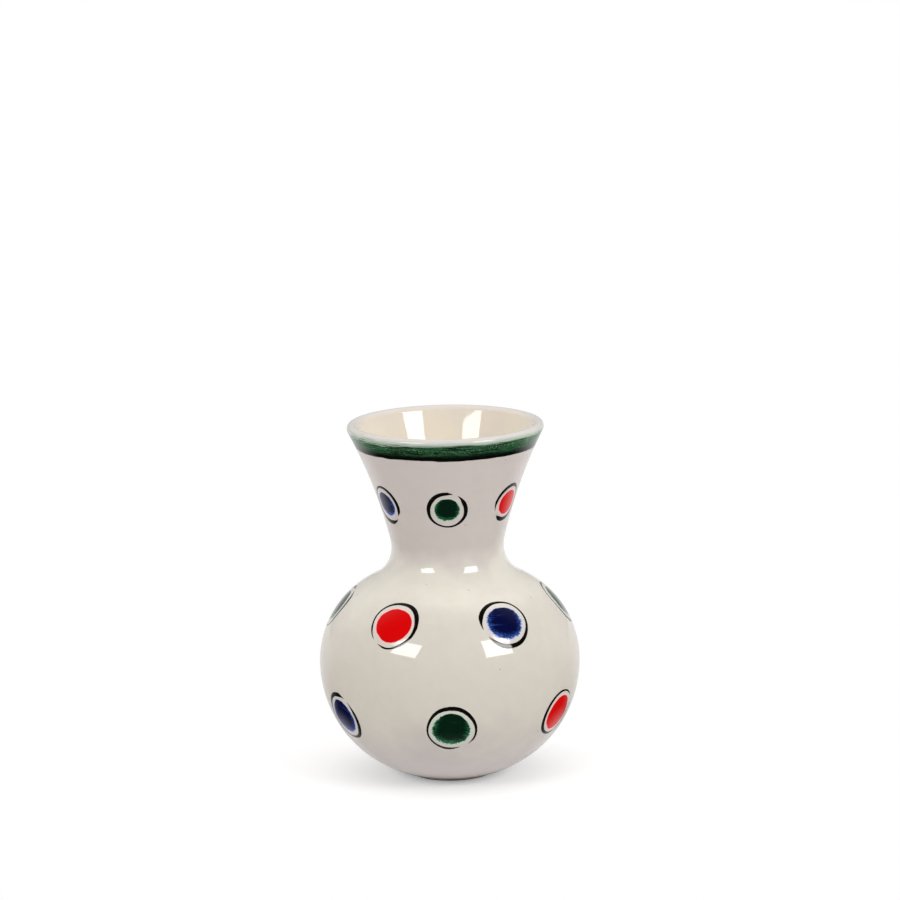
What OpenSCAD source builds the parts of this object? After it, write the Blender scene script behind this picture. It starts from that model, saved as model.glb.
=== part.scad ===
// Small earthenware vase: a round globe, a luted flaring neck, a glaze coat inside and out,
// and painted colours that lie in pockets of the outer coat, flush with its face.
// Millimetres, +Z up, origin on the floor at the middle of the foot.

/* [Form] */
// Height from the floor to the top of the lip
height = 150; // [135:1:170]
// Widest diameter of the globe
belly_d = 109.2; // [100:0.2:120]
// Height of the globe's widest point
belly_z = 48.2; // [44:0.2:54]
// Radius of the shoulder's arc, above the widest point
shoulder_r = 40.2; // [37:0.2:44]
// Narrowest diameter, at the throat
throat_d = 46.8; // [42:0.2:52]
// Radius of the hollow curve between shoulder and neck
throat_r = 14.4; // [10:0.2:18]
// Diameter over the lip
rim_d = 82; // [74:0.2:90]
// Radius of the neck's long flaring curve
flare_r = 212; // [160:1:300]
// Diameter of the foot
foot_d = 35; // [30:0.5:44]
// Height of the bare edge of the foot
foot_h = 0.7; // [0.4:0.1:1.6]

/* [Walls] */
// Thickness of the wall with its glaze
wall = 4.5; // [3.6:0.1:5.6]
// Radius of the lip's outer edge
lip_edge_r = 2; // [1.4:0.1:2.2]
// Height of the glazed floor inside, above the surface that the vase stands on
floor_z = 6; // [5:0.1:9]
// Width of the ring that the vase stands on
foot_ring_w = 4; // [3:0.1:6]
// Depth of the hollow inside that ring
foot_hollow = 1.5; // [0.8:0.1:2.4]

/* [Glaze and paint] */
// Thickness of the glaze, inside and out
glaze_t = 0.4; // [0.3:0.05:0.8]
// Depth to which the painted colours lie in the outer glaze
paint_t = 0.2; // [0.1:0.05:0.25]

/* [Neck joint] */
// Length of the neck's spigot inside the globe's socket
lap_h = 5; // [3:0.5:7]
// Thickness of the slip that fills the joint
slip_t = 0.35; // [0.2:0.05:0.6]

/* [Rim stripe] */
// Bare lip left above the green band
band_drop = 2.8; // [2.4:0.1:4]
// Height of the green band
band_h = 5; // [3:0.1:8]
// Height of the black line under the band
line_h = 1.8; // [1:0.1:3]

/* [Dots] */
// Dots in each row around the vase
dots_per_row = 6; // [3:1:6]
// Height of the neck row
neck_row_z = 118.5; // [112:0.5:124]
// Height of the shoulder row
shoulder_row_z = 73; // [66:0.5:76]
// Height of the belly row
belly_row_z = 31; // [26:0.5:38]
// Diameter of a dot on the neck
neck_dot_d = 11; // [7:0.5:14]
// Diameter of a dot on the globe
globe_dot_d = 16; // [10:0.5:19]
// Clear glaze between a dot and its black ring
ring_gap = 1.4; // [0.6:0.1:2]
// Width of the black ring's line
ring_w = 1.4; // [0.6:0.1:2]

/* [Hidden] */
$fn = 96;

CLAY = "#d8b48c";
SLIP = "#c39a72";
CREAM = "#e6dfd3";
WARM_CREAM = "#e8dcc2";
GREEN = "#1c4a33";
BLACK = "#17120f";
RED = "#d8141a";
BLUE = "#27418f";

// The most that a flat step may stand off a true arc
chord_error = 0.06;
// How far a cutting shape passes the face that it cuts
overshoot = 1;
// Bearing of the front, where the rows start
front = -90;

// The outer face is five arcs, each tangent to the next: belly, shoulder, throat, neck and lip edge.
// Their centres are [radius, height], and an inner layer keeps them and changes the radii.
belly_run = (belly_d - foot_d) / 2;
belly_rise = belly_z - foot_h;
belly_r = (belly_run ^ 2 + belly_rise ^ 2) / (2 * belly_run);
belly_c = [belly_d / 2 - belly_r, belly_z];
shoulder_c = [belly_d / 2 - shoulder_r, belly_z];
throat_x = throat_d / 2 + throat_r;
throat_rise = sqrt((shoulder_r + throat_r) ^ 2 - (throat_x - shoulder_c.x) ^ 2);
throat_c = [throat_x, belly_z + throat_rise];
lip_c = [rim_d / 2 - lip_edge_r, height - lip_edge_r];

// The neck's arc is tangent to the throat's inside and to the lip edge's outside
neck_span = lip_c - throat_c;
neck_l = norm(neck_span);
neck_near = flare_r - throat_r;
neck_far = flare_r + lip_edge_r;
neck_t = (neck_near ^ 2 - neck_far ^ 2 + neck_l ^ 2) / (2 * neck_l);
neck_u = neck_span / neck_l;
neck_c = throat_c + neck_t * neck_u + sqrt(neck_near ^ 2 - neck_t ^ 2) * [neck_u.y, -neck_u.x];

shoulder_top = bearing(throat_c - shoulder_c);
neck_foot = bearing(throat_c - neck_c);
neck_top = bearing(lip_c - neck_c);
throat_start = shoulder_top + 180;

// A soft round runs from the very top of the lip into the neck's inner face
lip_top = 90;
inner_flare_r = flare_r + wall;
lip_rise = height - neck_c.y;
round_r = (inner_flare_r ^ 2 - (neck_c.x - lip_c.x) ^ 2 - lip_rise ^ 2) / (2 * (inner_flare_r - lip_rise));
round_c = [lip_c.x, height - round_r];
round_end = bearing(round_c - neck_c);

// The joint's step runs along the middle of the wall, at the throat
joint_z = throat_c.y;
joint_r = (throat_d - wall) / 2;

band_top = height - band_drop;
band_foot = band_top - band_h;
line_foot = band_foot - line_h;

// Red, blue and green, in turn along each row
colours = 3;
// Each row of dots: [height, diameter of a dot, turn in shares of one step, first colour]
ROWS = [
    [neck_row_z, neck_dot_d, 0, 2],
    [shoulder_row_z, globe_dot_d, 0.5, 1],
    [belly_row_z, globe_dot_d, 0, 2]
];

function bearing(v) = atan2(v.y, v.x);
function on_arc(c, r, a) = c + r * [cos(a), sin(a)];
function steps(r, turn) = max(2, ceil(abs(turn) / (2 * acos(1 - chord_error / r))));
function arc(c, r, from, to, n) = [for (i = [0:n]) on_arc(c, r, from + (to - from) * i / n)];

// Where the belly's arc, moved in by d, meets the side of the foot or the height z
function belly_at_foot(d) = -acos((foot_d / 2 - belly_c.x) / (belly_r - d));
function belly_at(z, d) = asin((z - belly_z) / (belly_r - d));

// The face moved in by d, from the angle start on the belly to the angle stop on the neck
function face(d, start, stop) = concat(
    arc(belly_c, belly_r - d, start, 0, steps(belly_r, start)),
    arc(shoulder_c, shoulder_r - d, 0, shoulder_top, steps(shoulder_r, shoulder_top)),
    arc(throat_c, throat_r + d, throat_start, neck_foot, steps(throat_r, throat_start - neck_foot)),
    arc(neck_c, flare_r + d, neck_foot, stop, steps(flare_r, neck_foot - stop))
);

// The outside moved in by d, from the foot to the top of the lip
function outside(d) = concat(
    face(d, belly_at_foot(d), neck_top),
    arc(lip_c, lip_edge_r - d, neck_top - 180, lip_top, steps(lip_edge_r, neck_top - 180 - lip_top))
);

// The lip's soft round moved in by d, from the top to the neck's inner face
function lip_round(d) = arc(round_c, round_r - d, lip_top, round_end, steps(round_r, round_end - lip_top));

function backwards(p) = [for (i = [len(p) - 1:-1:0]) p[i]];

// One layer of the outside, between the depths near and far
module skin_section(near, far) {
    polygon(concat(outside(near), backwards(outside(far))));
}

module outer_glaze_section() {
    polygon(concat(
        outside(0), lip_round(0),
        backwards(lip_round(glaze_t)), backwards(outside(glaze_t))
    ));
}

// The clay: bare foot and hollow underneath, a coat's depth below the faces elsewhere
module clay_section() {
    inside = wall - glaze_t;
    floor_clay = floor_z - glaze_t;
    foot_r = foot_d / 2;
    polygon(concat(
        [[0, foot_hollow], [foot_r - foot_ring_w, foot_hollow], [foot_r - foot_ring_w, 0], [foot_r, 0]],
        outside(glaze_t), lip_round(glaze_t),
        backwards(face(inside, belly_at(floor_clay, inside), round_end)), [[0, floor_clay]]
    ));
}

module inner_glaze_section() {
    inside = wall - glaze_t;
    floor_clay = floor_z - glaze_t;
    polygon(concat(
        [[0, floor_clay]], face(inside, belly_at(floor_clay, inside), round_end),
        backwards(face(wall, belly_at(floor_z, wall), round_end)), [[0, floor_z]]
    ));
}

// The part of the clay below the joint: the socket's wall stands outside the spigot
module below_joint() {
    square([belly_d, joint_z - lap_h]);
    translate([joint_r + slip_t / 2, 0]) square([belly_d, joint_z]);
}

// The part above it: the spigot reaches down inside the socket
module above_joint() {
    translate([0, joint_z + slip_t]) square([belly_d, height]);
    translate([0, joint_z - lap_h + slip_t]) square([joint_r - slip_t / 2, height]);
}

// Radius of the outer face at a row's height and its outward tilt, on belly, shoulder or neck
function row_place(z) =
    z < belly_z ? let (a = belly_at(z, 0)) [on_arc(belly_c, belly_r, a).x, a]
    : z < on_arc(shoulder_c, shoulder_r, shoulder_top).y
        ? let (a = asin((z - belly_z) / shoulder_r)) [on_arc(shoulder_c, shoulder_r, a).x, a]
        : let (a = 180 - asin((z - neck_c.y) / flare_r)) [on_arc(neck_c, flare_r, a).x, a - 180];

function turn_of(i, share) = front + (i + share) * 360 / dots_per_row;
function ring_inner(dot_d) = dot_d + 2 * ring_gap;
function ring_outer(dot_d) = ring_inner(dot_d) + 2 * ring_w;

// A plug square to the surface at one dot's place, long enough to pass the painted skin
module plug(row, i, d) {
    place = row_place(row[0]);
    rotate([0, 0, turn_of(i, row[2])])
        translate([place[0], 0, row[0]])
            rotate([0, 90 - place[1], 0])
                cylinder(h = d, d = d, center = true);
}

// The shapes given to it, kept only within the painted skin of the outer coat;
// proud is how far that skin stands out of the outer face
module painted(proud = 0) {
    intersection() {
        rotate_extrude() skin_section(-proud, paint_t);
        union() children();
    }
}

// The dots of one colour
module dots(colour) {
    for (row = ROWS, i = [0:dots_per_row - 1])
        if ((row[3] + i) % colours == colour) plug(row, i, row[1]);
}

module rings() {
    for (row = ROWS, i = [0:dots_per_row - 1]) difference() {
        plug(row, i, ring_outer(row[1]));
        plug(row, i, ring_inner(row[1]));
    }
}

// A painted stripe around the neck, between two heights
module stripe(foot, top, proud = 0) {
    rotate_extrude() intersection() {
        skin_section(-proud, paint_t);
        translate([0, foot]) square([rim_d, top - foot]);
    }
}

module globe() {
    color(CLAY) rotate_extrude() intersection() {
        clay_section();
        below_joint();
    }
}

module neck() {
    color(CLAY) rotate_extrude() intersection() {
        clay_section();
        above_joint();
    }
}

module slip_seam() {
    color(SLIP) rotate_extrude() difference() {
        clay_section();
        below_joint();
        above_joint();
    }
}

module outer_glaze() {
    color(CREAM) difference() {
        rotate_extrude() outer_glaze_section();
        stripe(line_foot, band_top, overshoot);
        painted(overshoot) {
            for (colour = [0:colours - 1]) dots(colour);
            rings();
        }
    }
}

module inner_glaze() {
    color(WARM_CREAM) rotate_extrude() inner_glaze_section();
}

module rim_band() {
    color(GREEN) stripe(band_foot, band_top);
}

module rim_line() {
    color(BLACK) stripe(line_foot, band_foot);
}

module red_dots() {
    color(RED) painted() dots(0);
}

module blue_dots() {
    color(BLUE) painted() dots(1);
}

module green_dots() {
    color(GREEN) painted() dots(2);
}

module dot_rings() {
    color(BLACK) painted() rings();
}

globe();
neck();
slip_seam();
outer_glaze();
inner_glaze();
rim_band();
rim_line();
red_dots();
blue_dots();
green_dots();
dot_rings();
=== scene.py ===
import math
import random

import bmesh
import bpy
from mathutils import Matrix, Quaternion, Vector, noise


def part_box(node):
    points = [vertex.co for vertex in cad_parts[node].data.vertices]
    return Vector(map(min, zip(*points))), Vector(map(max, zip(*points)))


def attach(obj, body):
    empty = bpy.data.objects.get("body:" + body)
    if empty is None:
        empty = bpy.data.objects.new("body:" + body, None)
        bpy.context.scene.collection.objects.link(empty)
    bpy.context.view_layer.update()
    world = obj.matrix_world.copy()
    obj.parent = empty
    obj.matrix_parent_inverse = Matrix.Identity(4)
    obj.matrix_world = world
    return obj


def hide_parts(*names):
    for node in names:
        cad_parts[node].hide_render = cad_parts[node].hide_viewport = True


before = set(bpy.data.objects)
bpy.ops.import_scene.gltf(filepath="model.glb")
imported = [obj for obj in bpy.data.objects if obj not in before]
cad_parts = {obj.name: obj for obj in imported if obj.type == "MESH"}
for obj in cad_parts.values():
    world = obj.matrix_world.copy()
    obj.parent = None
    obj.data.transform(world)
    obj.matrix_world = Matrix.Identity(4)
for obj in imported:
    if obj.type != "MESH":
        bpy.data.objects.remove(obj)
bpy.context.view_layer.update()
mm = 0.001
up = Vector((0, 0, 1))
print("frame loaded:", ", ".join(sorted(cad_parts)))

# The form: outer sizes from the frame, and the compass arcs that the outline is drawn with
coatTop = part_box("outer_glaze")[1]
glaze = 0.4 * mm
form = {
    "height": coatTop.z,
    "bellyR": coatTop.x,
    "rimR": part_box("neck")[1].x + glaze,
    "floorZ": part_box("inner_glaze")[0].z + glaze,
    "bellyZ": 48.2 * mm,
    "shoulderArc": 40.2 * mm,
    "throatR": 23.4 * mm,
    "throatArc": 14.4 * mm,
    "flareArc": 212 * mm,
    "footR": 17.5 * mm,
    "footZ": 0.7 * mm,
    "wall": 4.5 * mm,
    "lipEdge": 2 * mm,
}
arcSteps = {"belly": 64, "shoulder": 48, "throat": 32, "neck": 48, "lipEdge": 18, "lipRound": 24}


def bearing(v):
    return math.atan2(v.y, v.x) % (2 * math.pi)


# Centres of the five arcs as (radius, height), each arc tangent to the next
run = form["bellyR"] - form["footR"]
rise = form["bellyZ"] - form["footZ"]
bellyArc = (run ** 2 + rise ** 2) / (2 * run)
bellyC = Vector((form["bellyR"] - bellyArc, form["bellyZ"]))
shoulderC = Vector((form["bellyR"] - form["shoulderArc"], form["bellyZ"]))
throatX = form["throatR"] + form["throatArc"]
throatRise = math.sqrt((form["shoulderArc"] + form["throatArc"]) ** 2 - (throatX - shoulderC.x) ** 2)
throatC = Vector((throatX, form["bellyZ"] + throatRise))
lipC = Vector((form["rimR"] - form["lipEdge"], form["height"] - form["lipEdge"]))
span = lipC - throatC
nearReach = form["flareArc"] - form["throatArc"]
farReach = form["flareArc"] + form["lipEdge"]
alongSpan = (nearReach ** 2 - farReach ** 2 + span.length_squared) / (2 * span.length)
spanWay = span.normalized()
offSpan = math.sqrt(nearReach ** 2 - alongSpan ** 2)
neckC = throatC + alongSpan * spanWay + offSpan * Vector((spanWay.y, -spanWay.x))

shoulderTop = bearing(throatC - shoulderC)
throatStart = shoulderTop + math.pi
neckFoot = bearing(throatC - neckC)
neckTop = bearing(lipC - neckC)

# Over the lip: the edge to the very top, then a softer round into the neck's inner face
lipTop = math.pi / 2
innerFlare = form["flareArc"] + form["wall"]
lipRise = form["height"] - neckC.y
roundArc = (innerFlare ** 2 - (neckC.x - lipC.x) ** 2 - lipRise ** 2) / (2 * (innerFlare - lipRise))
roundC = Vector((lipC.x, form["height"] - roundArc))
roundEnd = bearing(roundC - neckC)
lipTurns = [
    (lipC, lipTop + math.pi - neckTop, arcSteps["lipEdge"]),
    (roundC, roundEnd - lipTop, arcSteps["lipRound"]),
]


def footAngle(depth):                      # where the belly, moved in by depth, meets the foot's side
    return -math.acos((form["footR"] - bellyC.x) / (bellyArc - depth))


def onArc(centre, radius, angle):
    return (centre.x + radius * math.cos(angle), 0, centre.y + radius * math.sin(angle))


def turn(bm, pen, centre, angle, steps):   # draws on from pen along an arc, as a compass does
    made = bmesh.ops.spin(bm, geom=[pen], cent=(centre.x, 0, centre.y), axis=(0, -1, 0),
                          angle=angle, steps=steps)
    return next(v for v in made["geom_last"] if isinstance(v, bmesh.types.BMVert))


def line(bm, pen, place, parts=1):
    start = pen.co.copy()
    for i in range(parts):
        tip = bm.verts.new(start.lerp(Vector(place), (i + 1) / parts))
        bm.edges.new((pen, tip))
        pen = tip
    return pen


def climb(start, stop=neckTop):            # the compass turns from the foot up the neck
    return [
        (bellyC, -start, arcSteps["belly"]),
        (shoulderC, shoulderTop, arcSteps["shoulder"]),
        (throatC, neckFoot - throatStart, arcSteps["throat"]),
        (neckC, stop - neckFoot, arcSteps["neck"]),
    ]


def follow(bm, pen, turns, coarser=1):
    for centre, angle, steps in turns:
        pen = turn(bm, pen, centre, angle, steps // coarser)
    return pen


def followBack(bm, pen, turns, coarser=1):
    backward = [(centre, -angle, steps) for centre, angle, steps in reversed(turns)]
    return follow(bm, pen, backward, coarser)


# Slight unevenness of a hand-thrown wall, the same for every layer at one place
hand = {
    "onAxis": 0.01 * mm,                   # nothing strays this close to the axis
    "oval": 0.1 * mm,
    "ovalTurn": 0.7,                       # radians
    "sway": 0.06 * mm,
    "swaySize": 26 * mm,
    "ripple": 0.004 * mm,
    "ripplePitch": 6.5 * mm,
    "rimWave": 0.16 * mm,
    "rimWaveFrom": 100.7 * mm,             # the wave grows from just above the throat
    "rimWaveScale": 1.3,
    "lipFrom": 130 * mm,
    "lipSwell": 0.2 * mm,                  # the wall thickens inwards towards the lip
    "lipSwellEdge": 1 * mm,
}


def thrown(place):                         # how far the wall strays at a place
    flat = Vector((place.x, place.y, 0))
    if flat.length < hand["onAxis"]:
        return Vector()
    around = math.atan2(place.y, place.x)
    out = hand["oval"] * math.cos(2 * around + hand["ovalTurn"])
    out += hand["sway"] * noise.noise(place / hand["swaySize"])
    out += hand["ripple"] * math.sin(2 * math.pi * place.z / hand["ripplePitch"] + around)
    nearAxis = min(1, flat.length / form["footR"])
    midWall = form["flareArc"] + form["wall"] / 2
    if neckC.x - flat.length > math.sqrt(midWall ** 2 - (place.z - neckC.y) ** 2):
        climbed = max(0, place.z - hand["lipFrom"]) / (form["height"] - hand["lipFrom"])
        inward = min(1, max(0, (lipC.x - flat.length) / hand["lipSwellEdge"]))
        out -= hand["lipSwell"] * climbed ** 2 * inward
    waved = max(0, place.z - hand["rimWaveFrom"]) / form["height"]
    lift = hand["rimWave"] * waved * noise.noise(flat.normalized() * hand["rimWaveScale"])
    return flat.normalized() * out * nearAxis + up * lift


sharpBend = math.radians(40)
weld = 0.001 * mm


def toMesh(bm, name):
    mesh = bpy.data.meshes.new(name)
    bm.to_mesh(mesh)
    bm.free()
    return mesh


def addObject(name, data):
    added = bpy.data.objects.new(name, data)
    bpy.context.scene.collection.objects.link(added)
    return added


def makePiece(bm, name, material, node):
    bmesh.ops.remove_doubles(bm, verts=bm.verts, dist=weld)
    bmesh.ops.recalc_face_normals(bm, faces=bm.faces)
    for v in bm.verts:
        v.co += thrown(v.co)
    for face in bm.faces:
        face.smooth = True
    for edge in bm.edges:
        edge.smooth = edge.calc_face_angle(0) < sharpBend
    mesh = toMesh(bm, name)
    mesh.materials.append(material)
    piece = addObject(name, mesh)
    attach(piece, "root")
    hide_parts(node)
    print("made", name, "with", len(mesh.polygons), "faces")


def spinRound(bm, steps, slices=8):        # one slice is spun, then copied round and welded
    share = 2 * math.pi / slices
    bmesh.ops.spin(bm, geom=bm.verts[:] + bm.edges[:], cent=(0, 0, 0), axis=up, angle=share,
                   steps=steps // slices)
    bmesh.ops.spin(bm, geom=bm.verts[:] + bm.edges[:] + bm.faces[:], cent=(0, 0, 0), axis=up,
                   angle=2 * math.pi - share, steps=slices - 1, use_duplicate=True)
    bmesh.ops.remove_doubles(bm, verts=bm.verts, dist=weld)


# Node helpers
def tone(red, green, blue):                # a colour as a screen shows it, 0 to 255, made linear
    def linear(value):
        share = value / 255
        return share / 12.92 if share <= 0.04045 else ((share + 0.055) / 1.055) ** 2.4
    return (linear(red), linear(green), linear(blue), 1)


def feed(tree, node, sockets):             # another node's socket is linked, a plain value is set
    for name, value in (sockets or {}).items():
        if isinstance(value, bpy.types.NodeSocket):
            tree.links.new(value, node.inputs[name])
        else:
            node.inputs[name].default_value = value


def put(tree, kind, sockets=None, **settings):
    made = tree.nodes.new("ShaderNode" + kind)
    for name, value in settings.items():
        setattr(made, name, value)
    feed(tree, made, sockets)
    return made


def calc(tree, operation, a, b=0.0):
    return put(tree, "Math", {0: a, 1: b}, operation=operation).outputs[0]


def fade(tree, value, low, high, start=0.0, end=1.0):
    sockets = {"Value": value, "From Min": low, "From Max": high, "To Min": start, "To Max": end}
    return put(tree, "MapRange", sockets, interpolation_type="SMOOTHSTEP").outputs[0]


def blend(tree, share, a, b, mode="MIX"):
    sockets = {0: share, 6: a, 7: b}
    return put(tree, "Mix", sockets, data_type="RGBA", blend_type=mode).outputs[2]


noiseSpan = (0.3, 0.7)                     # most of a noise lies between these


def grain(tree, place, scale, detail=2.0, stretch=None):
    if stretch:
        place = put(tree, "Mapping", {"Vector": place, "Scale": stretch}).outputs[0]
    return put(tree, "TexNoise", {"Vector": place, "Scale": scale, "Detail": detail}).outputs[0]


def stray(tree, noiseValue, reach):        # a noise as a shift to either side
    return calc(tree, "MULTIPLY", calc(tree, "SUBTRACT", noiseValue, 0.5), reach)


def fromLine(base, zone):                  # a zone that is written from a line on the vase
    return [base + step for step in zone]


def newGroup(name, inputs, outputs):
    group = bpy.data.node_groups.new(name, "ShaderNodeTree")
    for label, kind in inputs:
        group.interface.new_socket(label, in_out="INPUT", socket_type="NodeSocket" + kind)
    for label, kind in outputs:
        group.interface.new_socket(label, in_out="OUTPUT", socket_type="NodeSocket" + kind)
    source = group.nodes.new("NodeGroupInput")
    sink = group.nodes.new("NodeGroupOutput")
    return group, source.outputs, sink.inputs


def useGroup(tree, group, sockets=None):
    made = tree.nodes.new("ShaderNodeGroup")
    made.node_tree = group
    feed(tree, made, sockets)
    return made.outputs


def newMaterial(name):
    material = bpy.data.materials.new(name)
    material.use_nodes = True
    tree = material.node_tree
    return material, tree, tree.nodes["Principled BSDF"]


# Cream glaze, with painted shade and light: darker and pinker on the down-facing neck and under the belly,
# paler on the up-facing shoulder
cream = {
    # painted shade under the belly and on the neck, painted light on the shoulder
    "below": tone(196, 188, 185),
    "body": tone(220, 215, 204),
    "shoulder": tone(236, 232, 220),
    "neck": tone(214, 206, 201),
    "lip": tone(222, 218, 213),
    "bodyFrom": (11 * mm, 39 * mm),        # heights between which one tone turns into the next
    "shoulderFrom": (68 * mm, 84 * mm),
    "neckFrom": (90 * mm, 102 * mm),
    "lipFrom": (146.6 * mm, 148.4 * mm),
    "cloudScale": 38,
    "cloudReach": 30 * mm,
    "mottleScale": 210,
    "mottle": (0.985, 1.01),
    "speck": tone(120, 100, 78),
    "speckCell": 8 * mm,
    "speckR": 0.36 * mm,
    "speckCore": 0.4,
    "speckDepth": 0.75,
    "roughness": 0.055,
    "roughScale": 90,
    "roughSpan": (0.25, 0.75),
    "roughShares": (0.8, 1.25),
    "ior": 1.75,
}


def creamGroup():
    tree, _, sink = newGroup("creamGlaze", [], [("Color", "Color"), ("Roughness", "Float")])
    place = put(tree, "TexCoord").outputs["Object"]
    height = put(tree, "SeparateXYZ", {0: place}).outputs[2]
    cloud = grain(tree, place, cream["cloudScale"], 3)
    swayed = calc(tree, "ADD", height, stray(tree, cloud, cream["cloudReach"]))
    # the tones by height paint shade under the belly and on the neck, and light on the shoulder
    body = cream["below"]
    for part in ("body", "shoulder", "neck"):
        body = blend(tree, fade(tree, swayed, *cream[part + "From"]), body, cream[part])
    body = blend(tree, fade(tree, height, *cream["lipFrom"]), body, cream["lip"])
    mottle = fade(tree, grain(tree, place, cream["mottleScale"], 3), *noiseSpan, *cream["mottle"])
    mottle = put(tree, "CombineColor", {0: mottle, 1: mottle, 2: mottle}).outputs[0]
    body = blend(tree, 1.0, body, mottle, "MULTIPLY")
    cells = put(tree, "TexVoronoi", {"Vector": place, "Scale": 1 / cream["speckCell"]})
    size = cream["speckR"] / cream["speckCell"]
    core = cream["speckCore"] * size
    speck = fade(tree, cells.outputs["Distance"], core, size, cream["speckDepth"], 0)
    tree.links.new(blend(tree, speck, body, cream["speck"]), sink["Color"])
    smooth, coarse = (share * cream["roughness"] for share in cream["roughShares"])
    rough = fade(tree, grain(tree, place, cream["roughScale"]), *cream["roughSpan"], smooth, coarse)
    tree.links.new(rough, sink["Roughness"])
    return tree


creamGlaze = creamGroup()


# Warm glaze of the inside, which starts on the inner side of the lip
warm = {
    "deep": tone(241, 233, 215),
    "shallow": tone(237, 228, 216),
    "cloudScale": 55,
    "lipTurn": (-3.0 * mm, -1.2 * mm),     # across the lip, from its highest line
}


def warmGroup():
    tree, _, sink = newGroup("warmGlaze", [], [("Color", "Color"), ("Inside", "Float")])
    place = put(tree, "TexCoord").outputs["Object"]
    cloud = fade(tree, grain(tree, place, warm["cloudScale"], 3), *noiseSpan)
    tree.links.new(blend(tree, cloud, warm["deep"], warm["shallow"]), sink["Color"])
    parts = put(tree, "SeparateXYZ", {0: place}).outputs
    flat = put(tree, "CombineXYZ", {0: parts[0], 1: parts[1]}).outputs[0]
    radius = put(tree, "VectorMath", {0: flat}, operation="LENGTH").outputs["Value"]
    inward = fade(tree, radius, *fromLine(lipC.x, warm["lipTurn"]), 1, 0)
    onLip = fade(tree, parts[2], roundC.y, lipC.y)
    tree.links.new(calc(tree, "MULTIPLY", inward, onLip), sink["Inside"])
    return tree


warmGlaze = warmGroup()


def glossyFinish(tree, surface, colour, roughness):
    feed(tree, surface, {"Base Color": colour, "Roughness": roughness, "IOR": cream["ior"]})


def creamMaterial():
    material, tree, surface = newMaterial("creamGlazeGloss")
    glazed = useGroup(tree, creamGlaze)
    inner = useGroup(tree, warmGlaze)
    colour = blend(tree, inner["Inside"], glazed["Color"], inner["Color"])
    glossyFinish(tree, surface, colour, glazed["Roughness"])
    return material


def warmMaterial():
    material, tree, surface = newMaterial("warmGlazeGloss")
    colour = useGroup(tree, warmGlaze)["Color"]
    glossyFinish(tree, surface, colour, useGroup(tree, creamGlaze)["Roughness"])
    return material


# Brush work shared by the dots, in dot radii: where paint covers, how thick it lies, how its tint bleeds
brushWork = {
    "slant": 0.2,                          # radians that the strokes lean
    "endZone": (0.3, 0.95),                # strokes weaken towards both ends
    "endWeak": 0.7,
    "dryZone": (-0.95, 0.1),               # and towards the lower side, where the brush ran dry
    "lumpScale": 1.4,
    "lumps": 0.18,
    "hairStretch": (0.9, 5, 1),
    "hairSpan": (0.52, 0.75),
    "hairThin": 0.4,
    "fineScale": 15.0,
    "fineStretch": (0.7, 1.2, 1),
    "fray": 0.35,
    "speckleGain": 3,
    "speckleBase": 0.85,
    "solidTo": (0.965, 0.88),              # full cover ends here, on a wet edge and on a dry one
    "thinZone": (0.4, 0.98),
    "thinSpan": (0.08, 1.0),
    "haloZone": (0.96, 1.16),
    "haloDepth": 0.75,
}


def brushGroup():
    b = brushWork
    inputs = [("Place", "Vector"), ("Seed", "Float"), ("Soft", "Float")]
    outputs = [("Cover", "Float"), ("Thick", "Float"), ("Halo", "Float")]
    tree, source, sink = newGroup("brushDab", inputs, outputs)
    leaning = {"Vector": source["Place"], "Angle": b["slant"]}
    turned = put(tree, "VectorRotate", leaning, rotation_type="Z_AXIS").outputs[0]
    apart = put(tree, "CombineXYZ", {2: source["Seed"]}).outputs[0]
    spot = put(tree, "VectorMath", {0: turned, 1: apart}, operation="ADD").outputs[0]
    radius = put(tree, "VectorMath", {0: source["Place"]}, operation="LENGTH").outputs["Value"]
    along, across, _ = put(tree, "SeparateXYZ", {0: turned}).outputs
    ends = fade(tree, calc(tree, "ABSOLUTE", along), *b["endZone"], 0, b["endWeak"])
    weak = calc(tree, "MAXIMUM", ends, fade(tree, across, *b["dryZone"], 1, 0))
    weak = calc(tree, "MULTIPLY", weak, source["Soft"])
    lumps = stray(tree, grain(tree, spot, b["lumpScale"]), b["lumps"])
    fine = calc(tree, "SUBTRACT", grain(tree, spot, b["fineScale"], 2, b["fineStretch"]), 0.5)
    frayed = calc(tree, "MULTIPLY", calc(tree, "MULTIPLY", fine, weak), b["fray"])
    edge = calc(tree, "ADD", radius, calc(tree, "ADD", frayed, lumps))
    solid = fade(tree, weak, 0, 1, *b["solidTo"])
    tree.links.new(fade(tree, edge, solid, 1.0, 1, 0), sink["Cover"])
    outer = calc(tree, "MULTIPLY", fade(tree, edge, *b["thinZone"]), weak)
    speckles = calc(tree, "ADD", calc(tree, "MULTIPLY", fine, b["speckleGain"]), b["speckleBase"])
    hairs = fade(tree, grain(tree, spot, 1.0, 3, b["hairStretch"]), *b["hairSpan"], 0, b["hairThin"])
    thin = calc(tree, "ADD", calc(tree, "MULTIPLY", outer, speckles), hairs)
    tree.links.new(fade(tree, thin, *b["thinSpan"], 1, 0), sink["Thick"])
    tree.links.new(fade(tree, edge, *b["haloZone"], 1, 0), sink["Halo"])
    return tree


brushDab = brushGroup()
dabMap = "dabPlace"
dabSeed = "dabSeed"
paints = {
    "red": {"thick": tone(222, 0, 2), "thin": tone(204, 2, 18), "halo": tone(250, 208, 208), "soft": 0.3},
    "blue": {"thick": tone(3, 8, 58), "thin": tone(48, 88, 172), "halo": tone(208, 211, 236), "soft": 1.0},
    "green": {"thick": tone(2, 32, 18), "thin": tone(34, 104, 68), "halo": tone(198, 222, 204), "soft": 1.0},
}


def strokePlace(tree):                     # the place within a stroke, and the stroke's own number
    place = put(tree, "UVMap", uv_map=dabMap).outputs[0]
    seed = put(tree, "Attribute", attribute_name=dabSeed).outputs["Fac"]
    return place, seed


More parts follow.
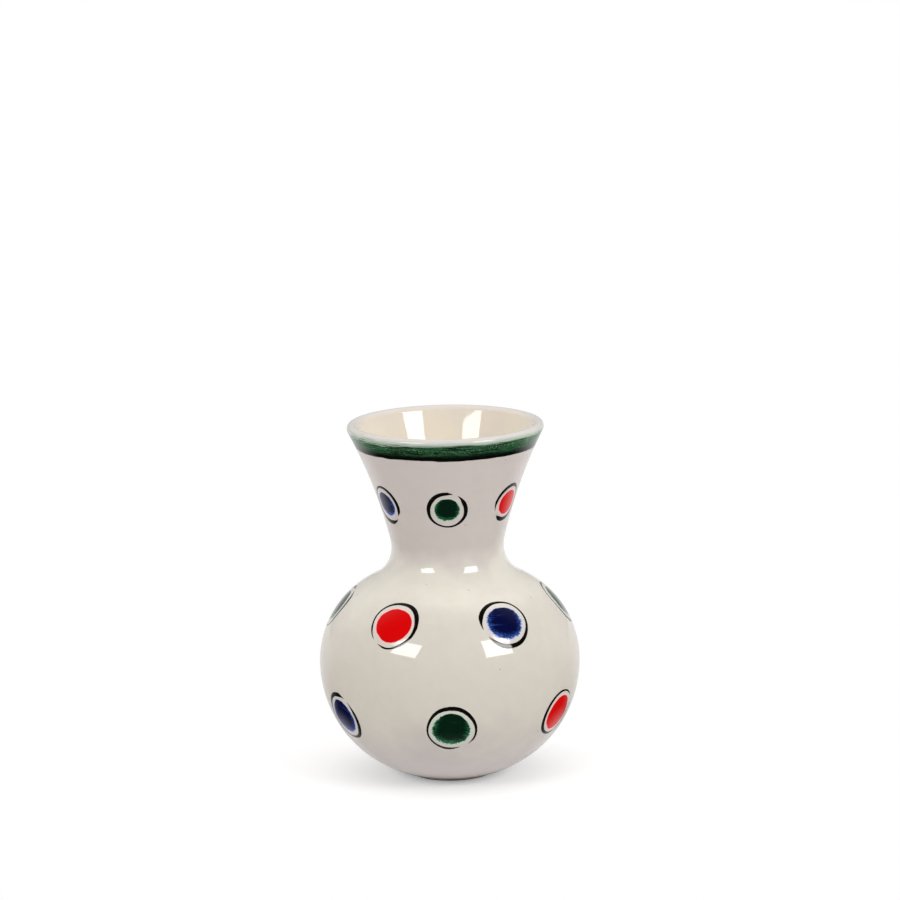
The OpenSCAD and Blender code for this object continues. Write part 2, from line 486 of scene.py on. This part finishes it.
def dabMaterial(colour):
    material, tree, surface = newMaterial(colour + "Brushed")
    paint = paints[colour]
    place, seed = strokePlace(tree)
    brush = useGroup(tree, brushDab, {"Place": place, "Seed": seed, "Soft": paint["soft"]})
    glazed = useGroup(tree, creamGlaze)
    body = blend(tree, brush["Thick"], paint["thin"], paint["thick"])
    bleed = calc(tree, "MULTIPLY", brush["Halo"], brushWork["haloDepth"])
    ground = blend(tree, bleed, glazed["Color"], paint["halo"])
    glossyFinish(tree, surface, blend(tree, brush["Cover"], ground, body), glazed["Roughness"])
    return material


# Black line paint for the rings: olive where the brush ran dry
lineInk = {
    "full": tone(5, 4, 3),
    "dry": tone(52, 52, 44),
    "dryStretch": (0.35, 1.2, 1),
    "drySpan": (0.55, 0.75),
    "dryDepth": 0.55,
    "raggedScale": 1.6,
    "ragged": 0.3,
    "edge": (0.78, 0.96),                  # across the stroke, in halves of its width
}


def ringMaterial():
    material, tree, surface = newMaterial("blackBrushed")
    place, seed = strokePlace(tree)
    apart = put(tree, "CombineXYZ", {2: seed}).outputs[0]
    spot = put(tree, "VectorMath", {0: place, 1: apart}, operation="ADD").outputs[0]
    streaks = grain(tree, spot, 1.0, 3, lineInk["dryStretch"])
    dry = fade(tree, streaks, *lineInk["drySpan"], 0, lineInk["dryDepth"])
    ink = blend(tree, dry, lineInk["full"], lineInk["dry"])
    glazed = useGroup(tree, creamGlaze)
    side = calc(tree, "ABSOLUTE", put(tree, "SeparateXYZ", {0: place}).outputs[1])
    ragged = stray(tree, grain(tree, spot, lineInk["raggedScale"], 3), lineInk["ragged"])
    cover = fade(tree, calc(tree, "ADD", side, ragged), *lineInk["edge"], 1, 0)
    glossyFinish(tree, surface, blend(tree, cover, glazed["Color"], ink), glazed["Roughness"])
    return material


# The green stripe: streaks run round the rim, dry in places, with a pale bleed up over the lip
stripe = {
    "foot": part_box("rim_band")[0].z,
    "top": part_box("rim_band")[1].z,
    "thick": tone(2, 34, 8),
    "thin": tone(40, 86, 54),
    "broadStreaks": 0.9,                   # to a mm of height
    "broadSpan": (0.4, 0.66),
    "sheenAside": (16 * mm, 38 * mm),     # painted sheen: the paint turns paler towards both sides
    "dust": tone(112, 156, 122),           # pale grains where the brush ran dry
    "dustStretch": (1.7 / mm, 1.7 / mm, 2.6 / mm),
    "dustSpan": (0.46, 0.66),
    "dustFrom": (1.6 * mm, 2.8 * mm),      # above the foot
    "dustLow": 0.35,
    "fineStreaks": 2.6,
    "fineSpan": (0.42, 0.62),
    "waveScale": 60,
    "wave": 1.2 * mm,
    "left": (-30 * mm, -2 * mm),           # on the left the upper edge is worn and breaks into streaks
    "leftHairs": 6.5 * mm,
    "leftWorn": 0.5 * mm,
    "hairs": 2.2 * mm,
    "edge": (-0.4 * mm, 0.8 * mm),         # above the top
    "bleed": tone(180, 200, 182),
    "bleedZone": (0.6 * mm, 2.0 * mm),
    "bleedDepth": 0.95,
    "shade": tone(6, 22, 10),
    "shadeZone": (0.2 * mm, 1.5 * mm),     # above the foot
    "shadeDepth": 0.8,
    "steps": 16,
    "overLip": math.radians(90),
}
streaksAround = 0.11 / mm                  # far fewer round the rim, so that each is long


def rimStreaks(tree, place, toMm):
    return grain(tree, place, 1.0, 4, (streaksAround, streaksAround, toMm / mm))


def bandMaterial():
    s = stripe
    material, tree, surface = newMaterial("greenStripeBrushed")
    place = put(tree, "TexCoord").outputs["Object"]
    sideways, _, height = put(tree, "SeparateXYZ", {0: place}).outputs
    glazed = useGroup(tree, creamGlaze)
    broad = rimStreaks(tree, place, s["broadStreaks"])
    fine = rimStreaks(tree, place, s["fineStreaks"])
    # painted sheen: the stripe turns paler green towards both sides
    aside = fade(tree, calc(tree, "ABSOLUTE", sideways), *s["sheenAside"])
    wateryAndSheen = calc(tree, "ADD", fade(tree, broad, *s["broadSpan"]), aside)
    body = blend(tree, calc(tree, "MINIMUM", wateryAndSheen, 1), s["thick"], s["thin"])
    grains = grain(tree, place, 1.0, 2, s["dustStretch"])
    dusted = calc(tree, "MULTIPLY", fade(tree, grains, *s["dustSpan"]), fade(tree, fine, *s["fineSpan"]))
    middle = fade(tree, height, *fromLine(s["foot"], s["dustFrom"]), s["dustLow"], 1)
    body = blend(tree, calc(tree, "MULTIPLY", dusted, middle), body, s["dust"])
    wave = stray(tree, grain(tree, place, s["waveScale"]), s["wave"])
    hairs = stray(tree, fine, fade(tree, sideways, *s["left"], s["leftHairs"], s["hairs"]))
    swayed = calc(tree, "ADD", calc(tree, "ADD", height, wave), hairs)
    worn = calc(tree, "ADD", swayed, fade(tree, sideways, *s["left"], s["leftWorn"], 0))
    cover = fade(tree, worn, *fromLine(s["top"], s["edge"]), 1, 0)
    bleed = fade(tree, swayed, *fromLine(s["top"], s["bleedZone"]), s["bleedDepth"], 0)
    shade = fade(tree, height, *fromLine(s["foot"], s["shadeZone"]), s["shadeDepth"], 0)
    body = blend(tree, shade, body, s["shade"])
    ground = blend(tree, bleed, glazed["Color"], s["bleed"])
    glossyFinish(tree, surface, blend(tree, cover, ground, body), glazed["Roughness"])
    return material


# The black line along the stripe's foot
edgeLine = {
    "foot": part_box("rim_line")[0].z,
    "ink": tone(3, 3, 2),
    "thin": tone(6, 22, 10),
    "streaks": 2.2,                        # to a mm of height
    "thinSpan": (0.5, 0.72),
    "thinDepth": 0.7,
    "waveScale": 95,
    "wave": 1.5 * mm,
    "edge": (0.1 * mm, 0.4 * mm),          # above the foot
    "steps": 8,
}


def lineMaterial():
    s = edgeLine
    material, tree, surface = newMaterial("blackLineBrushed")
    place = put(tree, "TexCoord").outputs["Object"]
    height = put(tree, "SeparateXYZ", {0: place}).outputs[2]
    glazed = useGroup(tree, creamGlaze)
    streaks = rimStreaks(tree, place, s["streaks"])
    ink = blend(tree, fade(tree, streaks, *s["thinSpan"], 0, s["thinDepth"]), s["ink"], s["thin"])
    wave = stray(tree, grain(tree, place, s["waveScale"], 3), s["wave"])
    cover = fade(tree, calc(tree, "ADD", height, wave), *fromLine(s["foot"], s["edge"]))
    glossyFinish(tree, surface, blend(tree, cover, glazed["Color"], ink), glazed["Roughness"])
    return material


# Bare fired clay, seen on the foot, and the slip of the neck joint
clay = {
    "body": tone(222, 194, 160),
    "dark": tone(196, 160, 124),
    "slip": tone(204, 170, 136),
    "slipDark": tone(178, 142, 110),
    "cloudScale": 120,
    "sand": tone(150, 112, 82),
    "sandCell": 1.6 * mm,
    "sandEdge": (0.05, 0.16),
    "sandDepth": 0.6,
    "roughness": 0.82,
    "poreScale": 1400,
    "pores": {"Strength": 0.25, "Distance": 0.1 * mm},
}


def clayMaterial(name, pale, dark):
    material, tree, surface = newMaterial(name)
    place = put(tree, "TexCoord").outputs["Object"]
    cloud = fade(tree, grain(tree, place, clay["cloudScale"], 5), *noiseSpan)
    sand = put(tree, "TexVoronoi", {"Vector": place, "Scale": 1 / clay["sandCell"]}).outputs["Distance"]
    sandy = fade(tree, sand, *clay["sandEdge"], clay["sandDepth"], 0)
    body = blend(tree, sandy, blend(tree, cloud, pale, dark), clay["sand"])
    pores = {"Height": grain(tree, place, clay["poreScale"], 3), **clay["pores"]}
    bump = put(tree, "Bump", pores).outputs[0]
    feed(tree, surface, {"Base Color": body, "Roughness": clay["roughness"], "Normal": bump})
    return material


# Outer glaze: one coat from the foot over the lip, closed by its own underside
coat = {"around": 240, "coarser": 3}


def outerCoat():
    bm = bmesh.new()
    first = bm.verts.new(onArc(bellyC, bellyArc, footAngle(0)))
    pen = follow(bm, first, climb(footAngle(0)) + lipTurns)
    pen = line(bm, pen, onArc(roundC, roundArc - glaze, roundEnd))
    pen = followBack(bm, pen, climb(footAngle(glaze)) + lipTurns, coat["coarser"])
    bm.edges.new((pen, first))
    spinRound(bm, coat["around"])
    makePiece(bm, "creamCoat", creamMaterial(), "outer_glaze")


# Inner glaze: down from the lip, round the hollow and over a floor with a soft corner
lining = {"around": 200, "cornerArc": 8 * mm, "cornerSteps": 12, "floorParts": 10, "coarser": 3}


def innerLining():
    corner = lining["cornerArc"]
    cornerZ = form["floorZ"] + corner
    reach = bellyArc - form["wall"] - corner
    cornerC = Vector((bellyC.x + math.sqrt(reach ** 2 - (bellyC.y - cornerZ) ** 2), cornerZ))
    cornerStart = bearing(cornerC - bellyC) - 2 * math.pi
    cornerTurn = -math.pi / 2 - cornerStart
    bm = bmesh.new()
    first = bm.verts.new(onArc(roundC, roundArc, roundEnd))
    pen = followBack(bm, first, climb(cornerStart, roundEnd))
    pen = turn(bm, pen, cornerC, cornerTurn, lining["cornerSteps"])
    pen = line(bm, pen, (0, 0, form["floorZ"]), lining["floorParts"])
    pen = line(bm, pen, (0, 0, form["floorZ"] - glaze))
    pen = line(bm, pen, onArc(cornerC, corner + glaze, -math.pi / 2))
    pen = turn(bm, pen, cornerC, -cornerTurn, lining["cornerSteps"])
    pen = follow(bm, pen, climb(cornerStart, roundEnd), lining["coarser"])
    bm.edges.new((pen, first))
    spinRound(bm, lining["around"])
    makePiece(bm, "warmLining", warmMaterial(), "inner_glaze")


# Clay globe: bare turned foot, hollow underneath, and the socket that takes the neck
turnedFoot = {
    "ringW": 4 * mm,
    "hollow": 1.5 * mm,
    "round": 0.45 * mm,
    "roundSteps": 3,
    "grooves": 0.05 * mm,
    "groovePitch": 1.9 * mm,
    "grooveParts": 40,
    "lap": 5 * mm,
    "slip": 0.35 * mm,
    "outsideSteps": (40, 24, 12),          # belly, shoulder, throat
    "insideSteps": (8, 24, 32),            # throat, shoulder, belly
    "around": 160,
}


def clayGlobe(material):
    s = turnedFoot
    ringR = form["footR"] - s["ringW"]
    floorZ = form["floorZ"] - glaze
    inside = form["wall"] - glaze
    jointR = form["throatR"] - form["wall"] / 2 + s["slip"] / 2
    innerArc = form["throatArc"] + inside
    socketAngle = math.pi + math.asin(s["lap"] / innerArc)
    floorAngle = math.asin((floorZ - bellyC.y) / (bellyArc - inside))
    upOutside = zip((bellyC, shoulderC, throatC), (-footAngle(glaze), shoulderTop, math.pi - throatStart),
                    s["outsideSteps"])
    downInside = zip((throatC, shoulderC, bellyC), (throatStart - socketAngle, -shoulderTop, floorAngle),
                     s["insideSteps"])
    bm = bmesh.new()
    first = bm.verts.new((0, 0, s["hollow"]))
    pen = line(bm, first, (ringR, 0, s["hollow"]), s["grooveParts"])
    for v in bm.verts:                     # fine rings left by the turning tool
        v.co.z += s["grooves"] * math.sin(2 * math.pi * v.co.x / s["groovePitch"])
    for place in ((ringR, 0, 0), (form["footR"], 0, 0)):
        pen = line(bm, pen, place)
    pen = line(bm, pen, onArc(bellyC, bellyArc - glaze, footAngle(glaze)))
    pen = follow(bm, pen, upOutside)
    for place in ((jointR, 0, throatC.y), (jointR, 0, throatC.y - s["lap"])):
        pen = line(bm, pen, place)
    pen = line(bm, pen, onArc(throatC, innerArc, socketAngle))
    pen = follow(bm, pen, downInside)
    line(bm, pen, (0, 0, floorZ))
    spinRound(bm, s["around"])
    bmesh.ops.recalc_face_normals(bm, faces=bm.faces)
    corners = [e for e in bm.edges
               if e.calc_face_angle(0) > sharpBend and max(v.co.z for v in e.verts) < s["hollow"] / 2]
    bmesh.ops.bevel(bm, geom=corners, offset=s["round"], segments=s["roundSteps"], profile=0.5,
                    affect="EDGES", material=-1)
    makePiece(bm, "turnedGlobe", material, "globe")


# Stripe and line under the lip: thin skins on the coat, with edges that sink into it
skin = {"proud": 0.02 * mm, "taper": 0.5 * mm, "buried": 0.15 * mm, "around": 240}


def neckAngle(z):
    return math.pi - math.asin((z - neckC.y) / form["flareArc"])


def neckSkin(low, high, steps, overLip=0.0):
    proud, taper, buried = skin["proud"], skin["taper"], skin["buried"]
    flare, edge = form["flareArc"], form["lipEdge"]
    start = neckAngle(low)
    stop = neckTop if overLip else neckAngle(high)
    bm = bmesh.new()
    first = bm.verts.new(onArc(neckC, flare + buried, neckAngle(low - taper)))
    pen = line(bm, first, onArc(neckC, flare - proud, start))
    pen = turn(bm, pen, neckC, stop - start, steps)
    if overLip:
        pen = turn(bm, pen, lipC, overLip, steps)
        stop = neckTop - math.pi + overLip
        pen = line(bm, pen, onArc(lipC, edge - buried, stop + taper / edge))
        pen = turn(bm, pen, lipC, -overLip - taper / edge, steps)
        pen = turn(bm, pen, neckC, neckAngle(low - taper) - neckTop, steps)
    else:
        pen = line(bm, pen, onArc(neckC, flare + buried, neckAngle(high + taper)))
        pen = turn(bm, pen, neckC, neckAngle(low - taper) - neckAngle(high + taper), steps)
    spinRound(bm, skin["around"])
    return bm


def rimStripe():
    band = neckSkin(stripe["foot"], stripe["top"], stripe["steps"], stripe["overLip"])
    makePiece(band, "rimBand", bandMaterial(), "rim_band")
    edge = neckSkin(edgeLine["foot"], stripe["foot"], edgeLine["steps"])
    makePiece(edge, "rimLine", lineMaterial(), "rim_line")


# Rows of ringed dots; colours follow each other along a row
dots = {
    "perRow": 6,
    "front": -math.pi / 2,
    "colours": ["red", "blue", "green"],
    "proud": 0.02 * mm,
    "sunk": 0.08 * mm,
    "halo": 1.2 * mm,
    "loops": (0.15, 0.3, 0.45, 0.6, 0.72, 0.82, 0.9),
    "sunkR": 1.03,
    "around": 64,
    "wide": (1.0, 1.07),
    "tall": (0.93, 1.0),
    "swell": 0.05,
    "swellScale": 0.9,
    "swellApart": 3.7,                     # steps between one dot's noise and the next one's
    "brushApart": 2.3,
}
rings = {
    "gap": 1.4 * mm,
    "stroke": 1.4 * mm,
    "proud": 0.035 * mm,
    "edge": 0.97,                          # across the stroke, in halves of its width
    "top": 0.7,
    "steps": 96,
    "unitSweep": math.radians(340),
    "unitHalf": 0.2,
    "firstDraw": 100,
    "sweep": (338, 350),                   # degrees
    "drift": (-0.35 * mm, 0.55 * mm),      # how far the end misses the start
    "press": 1.08,
    "pressChange": 0.46,
    "pressWaves": 1.4,
    "startTip": (0.12, 0.06),              # width at the tip, and the share of the stroke it widens over
    "endTip": (0.1, 0.1),
    "sway": 0.5 * mm,
    "swayScale": 1.1,
    "swayApart": 5.1,
}
# Each row is turned by a share of a step and starts with its first colour; bulge is -1 on a hollow face
rows = [
    {"z": 118.5 * mm, "dotR": 5.5 * mm, "share": 0.0, "first": 2,
     "centre": neckC, "arc": form["flareArc"], "bulge": -1},
    {"z": 73 * mm, "dotR": 8 * mm, "share": 0.5, "first": 1,
     "centre": shoulderC, "arc": form["shoulderArc"], "bulge": 1},
    {"z": 31 * mm, "dotR": 8 * mm, "share": 0.0, "first": 2,
     "centre": bellyC, "arc": bellyArc, "bulge": 1},
]


def onRow(row, around, place):             # wraps a flat point (along, up, proud) onto the row's face
    lean = math.asin((row["z"] - row["centre"].y) / row["arc"])
    angle = (lean if row["bulge"] > 0 else math.pi - lean) + row["bulge"] * place.y / row["arc"]
    reach = row["arc"] + row["bulge"] * place.z
    r = row["centre"].x + reach * math.cos(angle)
    z = row["centre"].y + reach * math.sin(angle)
    side = around + place.x / r
    return Vector((r * math.cos(side), r * math.sin(side), z))


def strokeMesh(bm, name):
    bm.loops.layers.uv.new(dabMap)
    bm.verts.layers.float.new(dabSeed)
    return toMesh(bm, name)


def unitDab():                             # flat lens of radius 1, a little proud, with a sunk edge
    bm = bmesh.new()
    pen = bm.verts.new((0, 0, dots["proud"]))
    for share in dots["loops"]:
        pen = line(bm, pen, (share, 0, dots["proud"]))
    for place in ((1, 0, 0), (dots["sunkR"], 0, -dots["sunk"]), (0, 0, -dots["sunk"])):
        pen = line(bm, pen, place)
    spinRound(bm, dots["around"])
    return strokeMesh(bm, "unitDab")


def unitRing():                            # open ring of radius 1, with closed ends
    bm = bmesh.new()
    edge, top, proud, sunk = rings["edge"], rings["top"], rings["proud"], dots["sunk"]
    section = [(-1, -sunk), (-edge, 0), (-top, proud), (0, proud), (top, proud), (edge, 0), (1, -sunk)]
    corners = [bm.verts.new((1 + across * rings["unitHalf"], 0, z)) for across, z in section]
    for i, corner in enumerate(corners):
        bm.edges.new((corner, corners[i - 1]))
    bmesh.ops.spin(bm, geom=bm.verts[:] + bm.edges[:], cent=(0, 0, 0), axis=up,
                   angle=rings["unitSweep"], steps=rings["steps"])
    bmesh.ops.holes_fill(bm, edges=[e for e in bm.edges if e.is_boundary], sides=0)
    return strokeMesh(bm, "unitRing")


def addStroke(bm, mesh, seed, shape, row, around):
    before = len(bm.verts), len(bm.faces)
    bm.from_mesh(mesh)
    bm.verts.ensure_lookup_table()
    bm.faces.ensure_lookup_table()
    uvLayer = bm.loops.layers.uv[dabMap]
    seedLayer = bm.verts.layers.float[dabSeed]
    verts = bm.verts[before[0]:]
    placed = {}
    for v in verts:
        v.co, placed[v] = shape(v.co)
        v[seedLayer] = dots["brushApart"] * seed
    for face in bm.faces[before[1]:]:
        for loop in face.loops:
            loop[uvLayer].uv = placed[loop.vert]
    for v in verts:
        v.co = onRow(row, around, v.co)


def dabShape(row, seed):
    draw = random.Random(seed)
    skinR = row["dotR"] + dots["halo"]
    wide = draw.uniform(*dots["wide"])
    tall = draw.uniform(*dots["tall"])
    apart = Vector((0, 0, dots["swellApart"] * seed))

    def shape(co):
        way = Vector((co.x, co.y, 0)).normalized()
        swell = skinR * (1 + dots["swell"] * noise.noise(way * dots["swellScale"] + apart))
        spot = Vector((co.x, co.y)) * swell / row["dotR"]
        return Vector((co.x * wide * swell, co.y * tall * swell, co.z)), spot

    return shape


def ringShape(row, seed):
    draw = random.Random(rings["firstDraw"] + seed)
    half = rings["stroke"] / 2
    middle = row["dotR"] + rings["gap"] + half
    sweep = math.radians(draw.uniform(*rings["sweep"]))
    start = draw.uniform(0, 2 * math.pi)
    phase = draw.uniform(0, 2 * math.pi)
    drift = draw.uniform(*rings["drift"])
    startWidth, startShare = rings["startTip"]
    endWidth, endShare = rings["endTip"]

    def shape(co):
        gone = (math.atan2(co.y, co.x) % (2 * math.pi)) / rings["unitSweep"]
        gone = gone if gone <= 1.01 else 0             # the start can come out as a whole turn
        across = (Vector((co.x, co.y)).length - 1) / rings["unitHalf"]
        angle = start + gone * sweep
        way = Vector((math.cos(angle), math.sin(angle), 0))
        wave = math.sin(2 * math.pi * rings["pressWaves"] * gone + phase)
        press = rings["press"] + rings["pressChange"] * wave
        ease = min(1, startWidth + gone / startShare, endWidth + (1 - gone) / endShare)
        sway = rings["sway"] * noise.noise(way * rings["swayScale"] + up * rings["swayApart"] * seed)
        reach = middle + drift * gone + sway + across * half * press * ease
        spot = Vector((gone * sweep * middle / half, across))
        return way * reach + up * co.z, spot

    return shape


def paintedDots():
    dab, ring = unitDab(), unitRing()
    meshes = {name: bmesh.new() for name in dots["colours"] + ["ring"]}
    seed = 0
    for row in rows:
        for i in range(dots["perRow"]):
            seed += 1
            around = dots["front"] + (i + row["share"]) * 2 * math.pi / dots["perRow"]
            colour = dots["colours"][(row["first"] + i) % len(dots["colours"])]
            addStroke(meshes[colour], dab, seed, dabShape(row, seed), row, around)
            addStroke(meshes["ring"], ring, seed, ringShape(row, seed), row, around)
    for colour in dots["colours"]:
        makePiece(meshes[colour], colour + "Dots", dabMaterial(colour), colour + "_dots")
    makePiece(meshes["ring"], "dotRings", ringMaterial(), "dot_rings")
    for mesh in (dab, ring):
        bpy.data.meshes.remove(mesh)


def makeVase():
    bareClay = clayMaterial("bareClay", clay["body"], clay["dark"])
    slip = clayMaterial("seamSlip", clay["slip"], clay["slipDark"])
    for name, material in (("neck", bareClay), ("slip_seam", slip)):
        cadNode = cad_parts[name]
        cadNode.data.materials.clear()
        cadNode.data.materials.append(material)
    clayGlobe(bareClay)
    innerLining()
    outerCoat()
    rimStripe()
    paintedDots()


# Studio: a white floor that keeps the shadow, two softboxes and a white surround
studio = {
    "floorR": 12.0,
    "floorSides": 96,
    "floorTone": (0.86, 0.86, 0.86, 1),
    "floorDim": (0.02, 0.02, 0.02, 1),
    "lift": 0.29,
    "liftTone": (0.93, 0.98, 1.0, 1),
    "shadowZone": (0.03, 0.122),
    "ambientTone": (1.0, 0.97, 0.96, 1),
    "overhead": (0.3, 1.0),
    "overheadGlow": 1.34,
    "sides": (0.45, 0.95),
    "leftGlow": 0.66,
    "rightGlow": 0.76,
    "mirrorToBack": (-0.15, 0.7),          # in reflections the room is dark behind the camera
    "mirrored": (0.02, 0.48),
    "floorToBack": (0.2, 0.95),            # and the floor brightens towards the back
    "floorMirrored": 0.8,
    "glowStart": (0.016, 0.027),           # round the foot the floor sends light up under the belly
    "glowEnd": (0.05, 0.085),
    "glowBounced": 0.29,
    "glowMirrored": 0.8,
    "mirrorEnd": (0.016, 0.072),           # in reflections the glow is short in front, wider aside
    "mirrorAside": (-0.4, 0.4),
    "mirrorWiden": 0.031,
    "middle": Vector((0, 0, 0.075)),
    "lamps": [
        {"name": "softboxLeft", "place": (-45, 31), "facing": (-21, 12), "roll": -13,
         "size": (2.64, 1.61), "radiance": 5.3},
        {"name": "softboxRight", "place": (50, 30), "facing": (22, 25), "roll": 5,
         "size": (2.9, 1.92), "radiance": 5.9},
    ],
    "lampDistance": 6.0,
}
white = (1, 1, 1, 1)


def skyWay(azimuth, elevation):            # direction seen from the vase; azimuth 0 is towards the camera
    a, e = math.radians(azimuth), math.radians(elevation)
    return Vector((math.sin(a) * math.cos(e), -math.cos(a) * math.cos(e), math.sin(e)))


def byRay(tree, shown, mirrored, other):   # what the camera, reflections and all other light find
    rays = put(tree, "LightPath").outputs
    unseen = put(tree, "MixShader", {0: rays["Is Glossy Ray"], 1: other, 2: mirrored}).outputs[0]
    seen = calc(tree, "MAXIMUM", rays["Is Camera Ray"], rays["Is Transmission Ray"])
    return put(tree, "MixShader", {0: seen, 1: unseen, 2: shown}).outputs[0]


def studioFloor():
    bm = bmesh.new()
    bmesh.ops.create_circle(bm, cap_ends=True, radius=studio["floorR"], segments=studio["floorSides"])
    floor = addObject("studioFloor", toMesh(bm, "studioFloor"))
    material, tree, _ = newMaterial("paleFloor")
    tree.nodes.clear()
    place = put(tree, "TexCoord").outputs["Object"]
    away = put(tree, "VectorMath", {0: place}, operation="LENGTH").outputs["Value"]
    way = put(tree, "VectorMath", {0: place}, operation="NORMALIZE").outputs[0]
    behind = put(tree, "SeparateXYZ", {0: way}).outputs[1]

    matt = put(tree, "BsdfDiffuse", {"Color": studio["floorTone"]}).outputs[0]
    lift = put(tree, "Emission", {"Strength": studio["lift"], "Color": studio["liftTone"]}).outputs[0]
    near = put(tree, "AddShader", {0: matt, 1: lift}).outputs[0]
    far = put(tree, "Emission", {"Strength": 1.0, "Color": white}).outputs[0]
    shown = put(tree, "MixShader", {0: fade(tree, away, *studio["shadowZone"]), 1: near, 2: far}).outputs[0]

    clear = fade(tree, away, *studio["glowStart"])
    widen = fade(tree, behind, *studio["mirrorAside"], 0, studio["mirrorWiden"])
    short = calc(tree, "SUBTRACT", away, widen)
    short = fade(tree, short, *studio["mirrorEnd"], studio["glowMirrored"], 0)
    bright = fade(tree, behind, *studio["floorToBack"], 0, studio["floorMirrored"])
    bright = calc(tree, "MAXIMUM", bright, calc(tree, "MULTIPLY", clear, short))
    dim = put(tree, "BsdfDiffuse", {"Color": studio["floorDim"]}).outputs[0]
    mirrored = put(tree, "MixShader", {0: bright, 1: dim, 2: shown}).outputs[0]

    close = calc(tree, "MULTIPLY", clear, fade(tree, away, *studio["glowEnd"], 1, 0))
    strength = calc(tree, "MULTIPLY", close, studio["glowBounced"])
    glow = put(tree, "Emission", {"Strength": strength, "Color": white}).outputs[0]
    bounced = put(tree, "AddShader", {0: matt, 1: glow}).outputs[0]
    put(tree, "OutputMaterial", {"Surface": byRay(tree, shown, mirrored, bounced)})
    floor.data.materials.append(material)


def studioLight():
    world = bpy.data.worlds.new("studioWorld")
    bpy.context.scene.world = world
    world.use_nodes = True
    tree = world.node_tree
    tree.nodes.clear()
    backdrop = put(tree, "Background", {"Strength": 1.0, "Color": white}).outputs[0]
    way = put(tree, "SeparateXYZ", {0: put(tree, "TexCoord").outputs["Generated"]}).outputs
    glow = fade(tree, way[2], *studio["overhead"], 0, studio["overheadGlow"])
    for side, strength in ((-1, studio["leftGlow"]), (1, studio["rightGlow"])):
        aside = calc(tree, "MULTIPLY", way[0], side)
        glow = calc(tree, "ADD", glow, fade(tree, aside, *studio["sides"], 0, strength))
    soft = put(tree, "Background", {"Strength": glow, "Color": studio["ambientTone"]}).outputs[0]
    room = fade(tree, way[1], *studio["mirrorToBack"], *studio["mirrored"])
    mirrored = put(tree, "Background", {"Strength": room, "Color": white}).outputs[0]
    put(tree, "OutputWorld", {"Surface": byRay(tree, backdrop, mirrored, soft)})
    for box in studio["lamps"]:
        lamp = bpy.data.lights.new(box["name"], "AREA")
        lamp.shape = "RECTANGLE"
        lamp.size, lamp.size_y = box["size"]
        lamp.energy = box["radiance"] * math.pi * lamp.size * lamp.size_y
        softbox = addObject(box["name"], lamp)
        softbox.location = studio["middle"] + skyWay(*box["place"]) * studio["lampDistance"]
        softbox.rotation_mode = "QUATERNION"
        roll = Quaternion(up, math.radians(box["roll"]))
        softbox.rotation_quaternion = skyWay(*box["facing"]).to_track_quat("Z", "Y") @ roll


# Camera: where the photograph was taken from
view = {
    "distance": 1.775,
    "elevation": math.radians(13.13),
    "around": Vector((0, 0, 0.075)),
    "aim": Vector((0.0018, 0, 0.138)),
    "roll": math.radians(1.12),
    "lens": 169.0,
    "sensor": 36.0,
    "clipEnd": 100.0,
}


def photoCamera():
    camera = bpy.data.cameras.new("photoCamera")
    camera.lens = view["lens"]
    camera.sensor_width = view["sensor"]
    camera.clip_end = view["clipEnd"]
    eye = addObject("photoCamera", camera)
    stand = Vector((0, -math.cos(view["elevation"]), math.sin(view["elevation"])))
    eye.location = view["around"] + stand * view["distance"]
    look = (view["aim"] - eye.location).to_track_quat("-Z", "Y")
    eye.rotation_mode = "QUATERNION"
    eye.rotation_quaternion = look @ Quaternion(up, -view["roll"])
    bpy.context.scene.camera = eye


bpy.context.scene.view_settings.view_transform = "Standard"
photoCamera()
makeVase()
studioFloor()
studioLight()
print("studio set")
